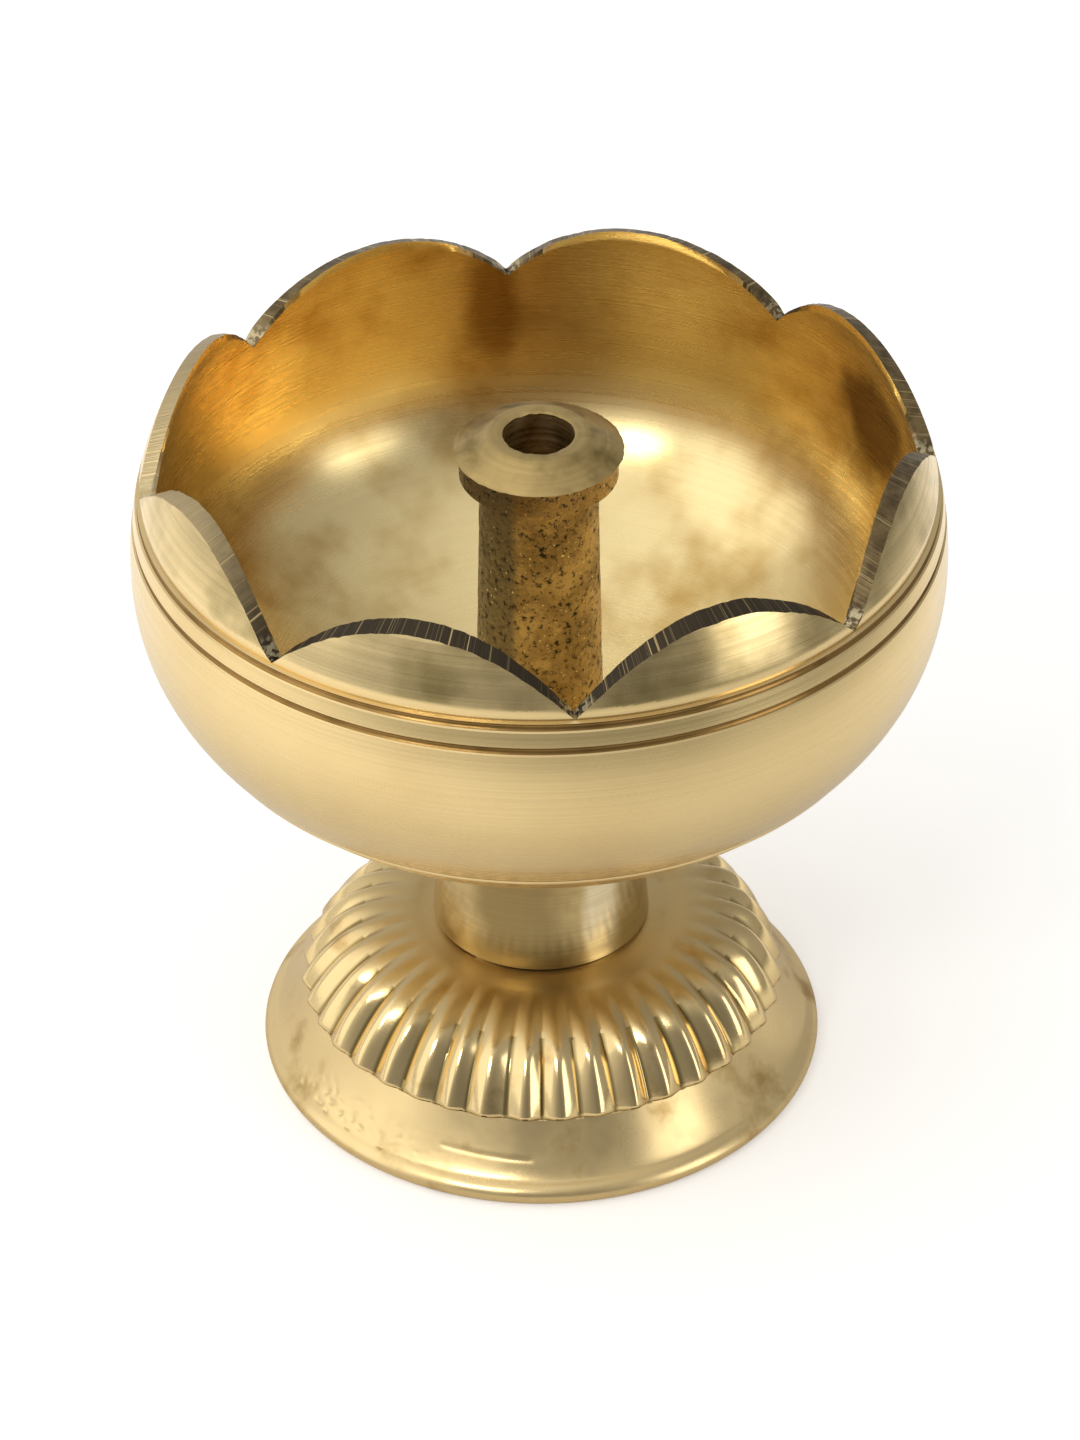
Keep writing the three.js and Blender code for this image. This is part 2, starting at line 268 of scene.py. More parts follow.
def saw_strokes(tree, spacing_mm, at_radius_mm):
    """Noise in fine lines that point at the axis, as a saw or file leaves across the rim."""
    place = add(tree, "ShaderNodeTexCoord").outputs["Object"]
    flat = add(tree, "ShaderNodeVectorMath", {"operation": "MULTIPLY", 1: (1, 1, 0)},
               {0: place}).outputs["Vector"]
    around = add(tree, "ShaderNodeVectorMath", {"operation": "NORMALIZE"}, {0: flat}).outputs["Vector"]
    return add(tree, "ShaderNodeTexNoise",
               {"noise_dimensions": "4D", "Scale": at_radius_mm / spacing_mm,
                "Detail": 3.0, "Roughness": 0.65}, {"Vector": around}).outputs["Fac"]


def ranged(tree, value, low, high, to_low=0.0, to_high=1.0):
    """Stretches a value from one range to another, with soft ends."""
    return add(tree, "ShaderNodeMapRange",
               {"interpolation_type": "SMOOTHSTEP", "From Min": low, "From Max": high,
                "To Min": to_low, "To Max": to_high}, {"Value": value}).outputs["Result"]


def mixed_colour(tree, share, first, second):
    """A colour between two; each is a hex value or another colour's output."""
    node = add(tree, "ShaderNodeMix", {"data_type": "RGBA"})
    tree.links.new(share, node.inputs["Factor"])
    for socket, colour in ((node.inputs[6], first), (node.inputs[7], second)):
        if isinstance(colour, str):
            socket.default_value = linear(colour)
        else:
            tree.links.new(colour, socket)
    return node.outputs[2]


def raised(tree, height, depth_mm, below=None):
    """Bumps the surface by a height from 0 to 1, on top of another bump if there is one."""
    links = {"Height": height} if below is None else {"Height": height, "Normal": below}
    return add(tree, "ShaderNodeBump", {"Strength": 1.0, "Distance": depth_mm * MM},
               links).outputs["Normal"]


def drive(tree, shader, **outputs):
    """Links outputs to the shader's sockets."""
    for key, output in outputs.items():
        tree.links.new(output, shader.inputs[key.replace("_", " ")])


def brushed_round(tree, shader, amount):
    """Smears reflections across rings that run round the axis."""
    tangent = add(tree, "ShaderNodeTangent", {"direction_type": "RADIAL", "axis": "Z"})
    tree.links.new(tangent.outputs["Tangent"], shader.inputs["Tangent"])
    shader.inputs["Anisotropic"].default_value = amount
    shader.inputs["Anisotropic Rotation"].default_value = 0.25


# %% [markdown]
# The brasses
#
# Most of the lamp is turned brass, and one function makes all of it, because only the numbers
# differ: the outside of the bowl is lightly burnished, the petals were rubbed once more and are
# glossier, the grooves hold grime, the basin was smoothed with abrasive cloth, and the wick
# holder is as it came off the lathe. A ring spacing of about 0.2 mm is a fine lathe feed. On the
# lamp the feed is finer still, but it wouldn't show. Colour varies in clouds, where hands and
# heat have dulled it. A few larger soft patches are painted light and shade: a painted highlight
# and painted shade on the stem, and painted dark reflections on the walls of the basin.

# %% Turned satin brass
def painted_patch(tree, colour, middle_mm, reach_mm, tone_patch):
    """Lays a soft-edged patch of painted light, bright or dark, of the given half sizes over a colour.
    """
    place = add(tree, "ShaderNodeTexCoord").outputs["Object"]
    offset = add(tree, "ShaderNodeVectorMath", {"operation": "SUBTRACT", 1: Vector(middle_mm) * MM},
                 {0: place}).outputs["Vector"]
    scaled = add(tree, "ShaderNodeVectorMath",
                 {"operation": "DIVIDE", 1: Vector(reach_mm) * MM}, {0: offset}).outputs["Vector"]
    away = add(tree, "ShaderNodeVectorMath", {"operation": "LENGTH"}, {0: scaled}).outputs["Value"]
    ragged = add(tree, "ShaderNodeMath", {"operation": "ADD"},
                 {0: away, 1: blotches(tree, 6.0, seed=8.0)}).outputs["Value"]
    return mixed_colour(tree, ranged(tree, ragged, 1.5, 0.9), colour, tone_patch)


def satin_brass(name, colour, dull_colour, roughness, ring_mm, ring_depth_mm, cloud_mm,
                hair_share, spread=0.04, smear=0.7, painted_patches=()):
    """Turned brass: fine rings, cloudy tarnish and reflections smeared across the rings."""
    material, tree, shader = new_material(name, {"Metallic": 1.0})
    rings = tool_rings(tree, ring_mm)
    clouds = blotches(tree, cloud_mm)
    tarnish = ranged(tree, clouds, 0.42, 0.75)
    dulled = mixed_colour(tree, tarnish, colour, dull_colour)
    for middle_mm, reach_mm, tone_patch in painted_patches:
        dulled = painted_patch(tree, dulled, middle_mm, reach_mm, tone_patch)
    hair = ranged(tree, tool_rings(tree, ring_mm * 2.3, seed=7.0), 0.35, 0.75, 0.0, hair_share)
    drive(tree, shader,
          Base_Color=mixed_colour(tree, hair, dulled, dull_colour),
          Roughness=ranged(tree, rings, 0.3, 0.7, roughness - spread, roughness + spread),
          Normal=raised(tree, rings, ring_depth_mm))
    brushed_round(tree, shader, smear)
    return material


bowl_satin = satin_brass("satin_turned_brass", BRASS, "#dcc088", 0.25, 0.16, 0.003, 18,
                         hair_share=0.1)
petal_rubbed = satin_brass("rubbed_petal_brass", "#ecd29b", "#b09b68", 0.26, 0.22, 0.004, 7,
                           hair_share=0.4)
groove_grimy = satin_brass("grimy_groove_brass", "#a4804a", "#75592f", 0.3, 0.2, 0.004, 6,
                           hair_share=0.3)
# The basin's two patches are painted dark reflections, on its right wall and at the middle of its back
# wall.
basin_satin = satin_brass("rubbed_basin_brass", "#f4dda2", "#c8a562", 0.27, 0.3, 0.0005, 9,
                          hair_share=0.0, spread=0.02, smear=0.3,
                          painted_patches=(((29, 15, 55), (5, 8, 7), "#76592f"),
                                  ((-4, 32, 57), (3.5, 8, 9), "#b59458")))
# The stem's patches are painted: painted shade down its front, a little left of its middle, and a narrow
# painted highlight right of its middle.
stem_rings = satin_brass("ringed_stem_brass", "#dcc38c", "#a58b58", 0.19, 0.2, 0.005, 6,
                         hair_share=0.25,
                         painted_patches=(((-2, -9, 21), (6, 5, 14), "#a58f60"),
                                 ((5.4, -8, 21), (2.2, 4, 14), "#fff0c8")))
head_turned = satin_brass("as_turned_brass", "#c0a56d", "#84703f", 0.34, 0.24, 0.014, 3,
                          hair_share=0.3)


# %% [markdown]
# The sawn rim
#
# The petals were sawn after turning and then worked with a file, and nothing polished the cut. It
# is dark and rough, crossed by file strokes, and bare metal shines at the corners of the notches.
# Its colour has painted shade towards the front and painted light on the left. Strokes that
# point at the axis come from noise in the direction round the lamp only.

# %% Sawn edge
EDGE_RADIUS = 33             # millimetres from the axis, where the strokes' spacing is true
NOTCH_DROP = 6.4             # the notches lie about this far below the top of the bowl's box


def sawn_edge():
    """Sawn, file-worked brass, dark with cutting grime, bright-nicked at its corners, with painted shade
    in front and painted light on the left.
    """
    material, tree, shader = new_material("sawn_brass_edge", {"Metallic": 1.0})
    strokes = saw_strokes(tree, 0.2, EDGE_RADIUS)
    grime = ranged(tree, blotches(tree, 1.4), 0.35, 0.65)
    place = add(tree, "ShaderNodeTexCoord").outputs["Object"]
    parts = add(tree, "ShaderNodeSeparateXYZ", links={0: place})
    # Painted shade: the rim is darker towards the front. Painted light: it is lighter on the left.
    front = ranged(tree, parts.outputs["Y"], -16 * MM, -27 * MM)
    painted_light_left = ranged(tree, parts.outputs["X"], -22 * MM, -31 * MM)
    dark = mixed_colour(tree, grime, "#5f4f37", "#83704d")
    dark = mixed_colour(tree, front, dark, "#463d30")
    dark = mixed_colour(tree, painted_light_left, dark, "#c2ad82")
    notch = box_sizes("bowl")[2] - NOTCH_DROP
    at_notch = ranged(tree, parts.outputs["Z"], (notch + 1.6) * MM, (notch + 0.4) * MM)
    nick = ranged(tree, blotches(tree, 0.5, seed=2.0), 0.46, 0.56, 0.0, 0.9)
    nicked = add(tree, "ShaderNodeMath", {"operation": "MULTIPLY"}, {0: at_notch, 1: nick}).outputs[0]
    dark = mixed_colour(tree, nicked, dark, "#cbbd98")
    bright = ranged(tree, strokes, 0.56, 0.68)
    drive(tree, shader,
          Base_Color=mixed_colour(tree, bright, dark, "#dcc18a"),
          Roughness=ranged(tree, strokes, 0.3, 0.7, 0.52, 0.3),
          Normal=raised(tree, strokes, 0.12))
    return material


rim_sawn = sawn_edge()


# %% [markdown]
# The wick holder's column
#
# Only the head was turned clean. The column keeps the skin of the bar it was made from: brown,
# pitted where the mould left sand, with painted shade on its left. Pits of about half a millimetre
# are dark and low, and small painted glints lie between them.

# %% Rough column
def rough_column():
    """The bar's own skin: brown, pitted, with grime in the pits, painted shade on its left and painted
    glints.
    """
    material, tree, shader = new_material("pitted_bar_brass", {"Metallic": 1.0})
    pits = blotches(tree, 0.55, detail=4.0, roughness=0.7)
    patches = ranged(tree, blotches(tree, 3.5, seed=3.0), 0.4, 0.62)
    place = add(tree, "ShaderNodeTexCoord").outputs["Object"]
    left = add(tree, "ShaderNodeSeparateXYZ", links={0: place}).outputs["X"]
    skin = mixed_colour(tree, patches, "#c8a971", "#a08455")
    # Painted shade: the column is darker on its left.
    painted_shade_left = mixed_colour(tree, ranged(tree, left, -1.6 * MM, -2.6 * MM), skin, "#85765a")
    pitted = mixed_colour(tree, ranged(tree, pits, 0.48, 0.36), painted_shade_left, "#3f3a28")
    # Painted glints: small near-white specks, brighter than bare brass.
    painted_glints = ranged(tree, blotches(tree, 0.3, detail=1.0, seed=9.0), 0.68, 0.74)
    drive(tree, shader,
          Base_Color=mixed_colour(tree, painted_glints, pitted, "#ffeebc"),
          Roughness=ranged(tree, pits, 0.35, 0.65, 0.5, 0.26),
          Normal=raised(tree, pits, 0.14))
    return material


column_skin = rough_column()
bore_drilled = satin_brass("drilled_bore_brass", "#f0d8a2", "#a8884e", 0.27, 0.3, 0.02, 3,
                           hair_share=0.5)


# %% [markdown]
# The foot's brass
#
# A buffing wheel reaches the ribs' crests and the flange, so those shine. It can't reach close to
# the stem, where the brass stays duller. The colour is darker between the ribs and near the stem,
# under the bowl: painted shade. The "valley" attribute that the foot's mesh carries says how deep
# between two ribs a point lies. Underneath, the casting was never touched.

# %% Buffed and cast brass
def buffed_foot():
    """The foot's outside: glossy on the ribs, unevenly rubbed and blotched on the flange, with painted
    shade between the ribs and near the stem.
    """
    material, tree, shader = new_material("buffed_cast_brass", {"Metallic": 1.0})
    place = add(tree, "ShaderNodeTexCoord").outputs["Object"]
    height = add(tree, "ShaderNodeSeparateXYZ", links={0: place}).outputs["Z"]
    on_ribs = ranged(tree, height, 6.6 * MM, 7.4 * MM)
    near_stem = ranged(tree, height, 11.2 * MM, 13.4 * MM)
    clouds = blotches(tree, 5.0, detail=4.0)
    tone_patch = ranged(tree, clouds, 0.53, 0.74)
    rings = tool_rings(tree, 0.3)
    valley = add(tree, "ShaderNodeAttribute", {"attribute_name": "valley"}).outputs["Fac"]
    shine = add(tree, "ShaderNodeMix", {"data_type": "FLOAT", "B": 0.15},
                {"Factor": on_ribs, "A": ranged(tree, clouds, 0.35, 0.65, 0.27, 0.38)}).outputs[0]
    shine = add(tree, "ShaderNodeMix", {"data_type": "FLOAT", "B": 0.38},
                {"Factor": near_stem, "A": shine}).outputs[0]
    # Painted shade: darker near the stem, under the bowl, and between the ribs.
    metal = mixed_colour(tree, near_stem, BRASS, "#c6ae7c")
    metal = mixed_colour(tree, ranged(tree, valley, 0.5, 1.0), metal, "#93804f")
    drive(tree, shader,
          Base_Color=mixed_colour(tree, tone_patch, metal, "#b8985e"),
          Roughness=shine,
          Normal=raised(tree, clouds, 0.02, raised(tree, rings, 0.003)))
    return material


def cast_hollow():
    """Untouched sand-cast brass under the foot: grainy and dull."""
    material, tree, shader = new_material("sand_cast_brass", {"Metallic": 1.0})
    grains = blotches(tree, 0.5, detail=3.0)
    tone_patch = ranged(tree, blotches(tree, 6.0, seed=4.0), 0.4, 0.65)
    drive(tree, shader,
          Base_Color=mixed_colour(tree, tone_patch, "#a8894f", "#6e5934"),
          Roughness=ranged(tree, grains, 0.3, 0.7, 0.4, 0.62),
          Normal=raised(tree, grains, 0.12))
    return material


foot_buffed = buffed_foot()
foot_cast = cast_hollow()


# %% [markdown]
# Steel and fibre
#
# The bolt and its washer are bought parts of zinc-plated steel, and the seal is red fibre.

# %% Zinc-plated steel and pressed fibre
def zinc_plate():
    """Bright zinc on steel: bluish grey, with a fine frosty grain and a few handling marks."""
    material, tree, shader = new_material("zinc_plated_steel", {"Metallic": 1.0})
    frost = blotches(tree, 0.4, detail=2.0)
    handled = ranged(tree, blotches(tree, 3.0, seed=5.0), 0.5, 0.75)
    drive(tree, shader,
          Base_Color=mixed_colour(tree, handled, "#c4c8cc", "#93979a"),
          Roughness=ranged(tree, frost, 0.3, 0.7, 0.26, 0.4),
          Normal=raised(tree, frost, 0.015))
    return material


def pressed_fibre():
    """Vulcanised fibre, as seals are punched from: red-brown and matt, mottled with its pulp."""
    material, tree, shader = new_material("pressed_red_fibre", {"Metallic": 0.0, "IOR": 1.53})
    pulp = blotches(tree, 0.7, detail=4.0, roughness=0.7)
    drive(tree, shader,
          Base_Color=mixed_colour(tree, ranged(tree, pulp, 0.35, 0.65), "#7a3426", "#5a2018"),
          Roughness=ranged(tree, pulp, 0.3, 0.7, 0.62, 0.8),
          Normal=raised(tree, pulp, 0.04))
    return material


steel = zinc_plate()
fibre = pressed_fibre()


# %% [markdown]
# The foot
#
# The foot is cast in sand and then turned and buffed. From the table up it has a rolled lip, a
# plain sloping flange, forty ribs swelling out of a dome, and a narrow plain ring round the stem.
# It is hollow underneath. Spinning the plain shape first and then swelling the ribs out of it
# keeps the ribs in even rows, and lets each one be a little different, as castings are.

# %% Foot
foot_radius, foot_top = box_sizes("foot")[::2]
LIP_HEIGHT = 2.1
LIP_BULGE = 0.8
FLANGE_WIDTH = 4.1
FLANGE_INSET = 0.2           # the flange starts this far inside the lip
FLANGE_START = LIP_HEIGHT + 0.12
FLANGE_TOP = 6.8
FLANGE_HOLLOW = 1.2          # 1 is a straight slope, more makes it slightly hollow
RIB_COUNT = 40
RIB_DEPTH = 0.8
CREST_SOFTNESS = 0.12        # 0 gives a roof-shaped rib, more rounds its crest
CREST_TOP = math.sqrt(1 + CREST_SOFTNESS)
COVE_RADIUS = 12.2
COVE_SHIFT = 0.8             # the ribs' crown sits this far to the right of the stem
FOOT_WALL = 2.0
FOOT_CEILING = 3.2
BOLT_LANDING = 8.0
BOLT_HOLE = 3.2
RIB_COLUMNS = 14             # faces across one rib
DOME_ROWS = 44

DOME_SHOULDER = (17.8, 13.6)  # the curve of the dome is pulled towards this radius and height
DOME_DROP = 0.25             # the dome ends this far below the stem's seat
RING_RADIUS = 9.4            # the plain ring runs in to here, under the stem's edge
RIB_FOOT = 0.045             # share of the dome's height over which a rib's lower end rounds off
FINE_ROWS = 1.4              # above 1 the dome's rows are closer together near the ribs' ends

rib_radius = foot_radius - FLANGE_WIDTH
neck = foot_radius - LIP_BULGE
dome_top = foot_top - DOME_DROP


def flange_point(t):
    """A point of the flange, from the lip up to the ribs."""
    return (mix(neck - FLANGE_INSET, rib_radius, t),
            mix(FLANGE_START, FLANGE_TOP, t ** FLANGE_HOLLOW))


def dome_point(step):
    """A smooth curve from the flange, steep at first, to the level top of the dome."""
    t = step ** FINE_ROWS
    start, end = Vector((rib_radius, FLANGE_TOP)), Vector((COVE_RADIUS, dome_top))
    point = start * (1 - t) ** 2 + Vector(DOME_SHOULDER) * 2 * t * (1 - t) + end * t ** 2
    return point.x, point.y


def foot_profile():
    """Lip, flange, dome, plain ring and seat, then the hollow inside and the rim underneath."""
    lip = along(14, lambda t: (neck + LIP_BULGE * math.sin(math.pi * t) ** 0.8, LIP_HEIGHT * t))
    flange = along(40, flange_point)
    dome = along(DOME_ROWS, dome_point)[1:]
    ring = [(mix(COVE_RADIUS, RING_RADIUS, t / 8),
             dome_top - 0.1 * math.sin(math.pi * t / 8) + 0.2 * t / 8) for t in range(1, 8)]
    top = [(RING_RADIUS - 0.2, foot_top), (BOLT_HOLE, foot_top)]
    ceiling = foot_top - FOOT_CEILING
    skirt = rib_radius - FOOT_WALL
    inside = along(10, lambda t: (mix(BOLT_LANDING, skirt, math.sin(t * math.pi / 2)),
                                  mix(FLANGE_TOP - 1, ceiling, math.cos(t * math.pi / 2))))
    bottom = [(neck - FOOT_WALL, 0.3), (neck - FOOT_WALL + 0.3, 0), (neck - 0.3, 0), (neck, 0.1)]
    return lip[1:] + flange + dome + ring + top + [(BOLT_HOLE, ceiling)] + inside + bottom + [lip[1]]


def rib_swell(angle, climb):
    """How far a rib stands out, at this angle and share of the way up the dome."""
    number = angle * RIB_COUNT / math.tau + 0.12 * wobble(angle * 5, 0, 0, 6.0)
    rib = math.floor(number)
    across = 2 * (number - rib) - 1
    lobe = (CREST_TOP - math.sqrt(across ** 2 + CREST_SOFTNESS)) / (CREST_TOP - CREST_SOFTNESS ** 0.5)
    end = math.sqrt(1 - (1 - min(max(climb / RIB_FOOT, 0), 1)) ** 2)
    fade = 1 - min(max((climb - 0.6) / 0.4, 0), 1) ** 1.5
    own = 1 + 0.22 * wobble(rib * 1.7, climb * 1.5, 0, 3.0)
    return RIB_DEPTH * lobe * end * fade * own


def flange_marks(angle, radius, height):
    """Buffing waves, a pitted patch at the front left and one short scratch, in millimetres."""
    x, y = radius * math.sin(angle), -radius * math.cos(angle)
    waves = 0.05 * wobble(x / 6, y / 6, height / 6, 1.0)
    patch = math.exp(-((angle + 0.85) / 0.3) ** 2) * math.exp(-((radius - neck + 0.7) / 0.9) ** 2)
    pits = -0.5 * patch * max(0, wobble(x * 2, y * 2, height, 4.0) - 0.12)
    on_scratch = -0.4 < angle < -0.04
    scratch = -0.07 * math.exp(-((radius - 22.9 - 0.5 * angle) / 0.12) ** 2) if on_scratch else 0
    return waves + pits + scratch


def shape_foot(angle, radius, height):
    """Swells the ribs, marks the flange and leans the crown a little to the right."""
    reach = (radius - COVE_RADIUS) / (rib_radius - COVE_RADIUS)
    climb = (height - FLANGE_TOP) / (dome_top - FLANGE_TOP)
    outside = radius > neck - FOOT_WALL + 0.31 or height > LIP_HEIGHT + 0.1
    if on_dome(radius, height):
        swell = rib_swell(angle, climb)
        lean = math.atan2(climb + 0.25, reach + 0.05)
        radius += swell * math.cos(lean)
        height += swell * math.sin(lean)
    elif outside and on_flange(radius, height):
        height += flange_marks(angle, radius, height)
    if height > FLANGE_TOP and radius > 9.5:
        share = min(max((height - FLANGE_TOP) / (foot_top - FLANGE_TOP), 0), 1)
        radius += COVE_SHIFT * share * math.sin(angle)
    return angle, radius, height


def on_dome(radius, height):
    """Whether a point of the plain turned shape is on the dome's outside."""
    return min(math.dist((radius, height), point) for point in DOME_POINTS) < ON_SURFACE


def on_flange(radius, height):
    """Whether a point of the plain turned shape is on the flange's top."""
    t = (neck - FLANGE_INSET - radius) / (neck - FLANGE_INSET - rib_radius)
    return 0 <= t <= 1 and abs(height - flange_point(t)[1]) < 2 * ON_SURFACE


ON_SURFACE = 0.01            # millimetres: a point this near a curve belongs to it
DOME_POINTS = along(DOME_ROWS, dome_point)


def mark_valleys(piece):
    """Stores how deep each point lies between the ribs, for the painted shade there."""
    depths = piece.data.attributes.new("valley", "FLOAT", "POINT")
    for number, vertex in enumerate(piece.data.vertices):
        x, y, z = vertex.co / MM
        climb = (z - FLANGE_TOP) / (dome_top - FLANGE_TOP)
        if on_dome(math.hypot(x, y), z):
            shown = rib_swell(math.atan2(x, -y), max(climb, RIB_FOOT)) / RIB_DEPTH
            depths.data[number].value = 1 - min(shown * 1.6, 1) if climb < 0.8 else 0


foot = turn("foot_casting", foot_profile(), RIB_COUNT * RIB_COLUMNS)
mark_valleys(foot)
move_vertices(foot, shape_foot)
paint_faces(foot, (foot_buffed, foot_cast), lambda angle, radius, height, normal: int(
    normal.z < -0.05 and height > 0.25 and radius < neck - 0.5))
finish_piece(foot, "foot", "pedestal", crease=50)


# %% [markdown]
# The stem
#
# A short barrel turned from bar, a little narrower at its waist, with a tapped hole right
# through it. Fine rings from the tool run round it, so its finish is satin.

# %% Stem
stem_radius, stem_low, stem_top = box_sizes("stem")
STEM_FOOT_RADIUS = 9.65
STEM_WAIST_RADIUS = 9.2
TAPPED_RADIUS = 2.95


def stem_profile():
    """A barrel with softened ends round a tapped hole."""
    side = along(40, lambda t: (mix(mix(STEM_FOOT_RADIUS, stem_radius, t), STEM_WAIST_RADIUS,
                                    math.sin(math.pi * t)), mix(stem_low + 0.25, stem_top - 0.25, t)))
    loop = [(TAPPED_RADIUS, stem_low), (STEM_FOOT_RADIUS - 0.25, stem_low)] + side
    return loop + [(stem_radius - 0.25, stem_top), (TAPPED_RADIUS, stem_top), (TAPPED_RADIUS, stem_low)]


stem = turn("stem_barrel", stem_profile(), 160)
stem.data.materials.append(stem_rings)
finish_piece(stem, "stem", "pedestal", crease=35)


# %% [markdown]
# The bowl
#
# The bowl is turned first, with a plain rim, two grooves and a line near its bottom, and its
# petals are then sawn and filed. Here too the plain bowl is spun first. Then every ring above
# the petals' root is drawn down to the sawn outline, following the lean of the wall, which gives
# clean rows of faces along the cut edge where a boolean cut would leave splinters.

# %% Bowl
bowl_radius, bowl_seat = box_sizes("bowl")[:2]
BELLY_RISE = 24.0
BELLY_SIDE = 1.11            # 1 is a true ellipse, more draws the side in sooner
BELLY_UNDER = 0.91           # 1 is a true ellipse, less makes the underside fuller
SEAT_PROUD = 0.6
SEAT_RADIUS = 10.6
RIM_RISE = 13.0
CROWN_SPAN = 32.0
BOWL_WALL = 1.5
FLOOR_THICKNESS = 3.0
FLOOR_RADIUS = 7.4           # the flat floor, on which the seal lies
PETAL_COUNT = 8
NOTCH_DEPTH = 5.95
NOTCH_TURN = 4.8
CUT_FALL = 0.62
GROOVE_WIDTH = 0.8
GROOVE_DEPTH = 0.3
GROOVE_LEAD = 0.65
GROOVE_SPACING = 2.1
FLOOR_HOLE = 3.2
LOW_LINE = 40.9              # height of the fine turned line near the bottom
LOW_LINE_DEPTH = 0.16
SHOULDER_HEIGHT = 1.2        # a rolled shoulder above the upper groove, under the petals
SHOULDER_DEPTH = 0.34
SAW_DEPTH = 0.16
PETAL_COLUMNS = 56
PETAL_ROWS = 22

belly = bowl_seat + BELLY_RISE
petal_tip = belly + RIM_RISE
bowl_floor = bowl_seat + FLOOR_THICKNESS
upper_groove = petal_tip - NOTCH_DEPTH - GROOVE_LEAD
lower_groove = upper_groove - GROOVE_SPACING
petal_root = upper_groove + GROOVE_WIDTH / 2 + 0.1


def belly_point(turned, reach, depth):
    """A point of the rounded lower bowl; turned runs from the belly down to the axis."""
    return (reach * math.cos(turned) ** BELLY_SIDE,
            belly - depth * math.sin(turned) ** BELLY_UNDER)


def crown_radius(height):
    """Outside radius of the bowl above its belly."""
    return bowl_radius * math.sqrt(max(1 - ((height - belly) / CROWN_SPAN) ** 2, 0))


def wall(heights, inset=0.0):
    """Points of the wall above the belly at these heights."""
    return [(crown_radius(h) - inset, h) for h in heights]


def spread(start, end, steps):
    """Even values from start to end."""
    return [mix(start, end, step / steps) for step in range(steps + 1)]


def groove(middle, width, depth):
    """A small round-bottomed groove cut into the wall."""
    return [(crown_radius(middle + width * (t - 0.5)) - depth * math.sin(math.pi * t) ** 0.7,
             middle + width * (t - 0.5)) for t in (0, 0.12, 0.3, 0.5, 0.7, 0.88, 1)]


def bowl_profile():
    """Seat, underside, belly, grooves, petals and the cut, then the basin and the floor's hole."""
    outer_turn = math.acos((SEAT_RADIUS / bowl_radius) ** (1 / BELLY_SIDE))
    line_turn = math.asin(((belly - LOW_LINE) / (BELLY_RISE + SEAT_PROUD)) ** (1 / BELLY_UNDER))
    turns = [outer_turn * (1 - step / 44) for step in range(45)]
    turns += [line_turn + 0.005 * step for step in range(-8, 9)]
    under = [belly_point(turned, bowl_radius, BELLY_RISE + SEAT_PROUD)
             for turned in sorted(turns, reverse=True)]
    side = wall(spread(belly + 0.6, lower_groove - GROOVE_WIDTH / 2 - 0.15, 6))
    band = wall(spread(lower_groove + GROOVE_WIDTH / 2 + 0.2, upper_groove - GROOVE_WIDTH / 2 - 0.2, 2))
    petals = wall(spread(petal_root, petal_tip, PETAL_ROWS))
    cut = straight(petals[-1], (crown_radius(petal_tip) - BOWL_WALL, petal_tip + CUT_FALL), 8)[:-1]
    inner = [(crown_radius(petal_tip) - BOWL_WALL, petal_tip + CUT_FALL)]
    inner += wall(spread(petal_tip, petal_root, PETAL_ROWS), BOWL_WALL)[1:]
    inner += wall(spread(petal_root, belly + 0.6, 6), BOWL_WALL)[1:]
    reach = bowl_radius - BOWL_WALL
    inner_turn = math.acos((FLOOR_RADIUS / reach) ** (1 / BELLY_SIDE))
    basin = along(36, lambda t: belly_point(inner_turn * t, reach, belly - bowl_floor))
    floor = [(FLOOR_RADIUS - 0.1, bowl_floor), (FLOOR_HOLE, bowl_floor), (FLOOR_HOLE, bowl_seat)]
    seat = [(FLOOR_HOLE, bowl_seat), (SEAT_RADIUS - 0.2, bowl_seat), (SEAT_RADIUS, bowl_seat + 0.2)]
    return (seat + under + side + groove(lower_groove, GROOVE_WIDTH, GROOVE_DEPTH) + band
            + groove(upper_groove, GROOVE_WIDTH, GROOVE_DEPTH) + petals + cut + inner + basin + floor)


def outer_radius(height):
    """Outside radius of the plain bowl at any height."""
    if height > belly:
        return crown_radius(height)
    drop = min((belly - height) / (BELLY_RISE + SEAT_PROUD), 1)
    return belly_point(math.asin(drop ** (1 / BELLY_UNDER)), bowl_radius, 0)[0]


def saw_marks(angle, level):
    """How far the saw and file bit below the clean outline, in millimetres."""
    x, y = math.sin(angle), math.cos(angle)
    slow = 0.5 + 0.5 * wobble(14 * x, 14 * y, 0, 2.0)
    fine = 0.5 + 0.5 * wobble(70 * x, 70 * y, level * 0.4, 5.0)
    return SAW_DEPTH * (slow + fine ** 2)


def rim_height(angle):
    """Height of the sawn rim: round-topped petals that meet in sharp notches."""
    pitch = math.tau / PETAL_COUNT
    across = 2 * ((angle - math.radians(NOTCH_TURN)) / pitch % 1) - 1
    half = crown_radius(petal_root) * math.sin(pitch / 2)
    arc = (half ** 2 + NOTCH_DEPTH ** 2) / (2 * NOTCH_DEPTH)
    return petal_tip - arc + math.sqrt(arc ** 2 - (across * half) ** 2)


def wall_marks(height):
    """The fine line near the bottom and the rolled shoulder over the grooves."""
    line = LOW_LINE_DEPTH * math.exp(-((height - LOW_LINE) / 0.16) ** 2)
    lip = 0.6 * LOW_LINE_DEPTH * math.exp(-((height - LOW_LINE + 0.4) / 0.16) ** 2)
    above = (height - upper_groove - GROOVE_WIDTH / 2) / SHOULDER_HEIGHT
    shoulder = SHOULDER_DEPTH * (1 - above) ** 1.2 if 0 <= above < 1 else 0
    return lip - line - shoulder


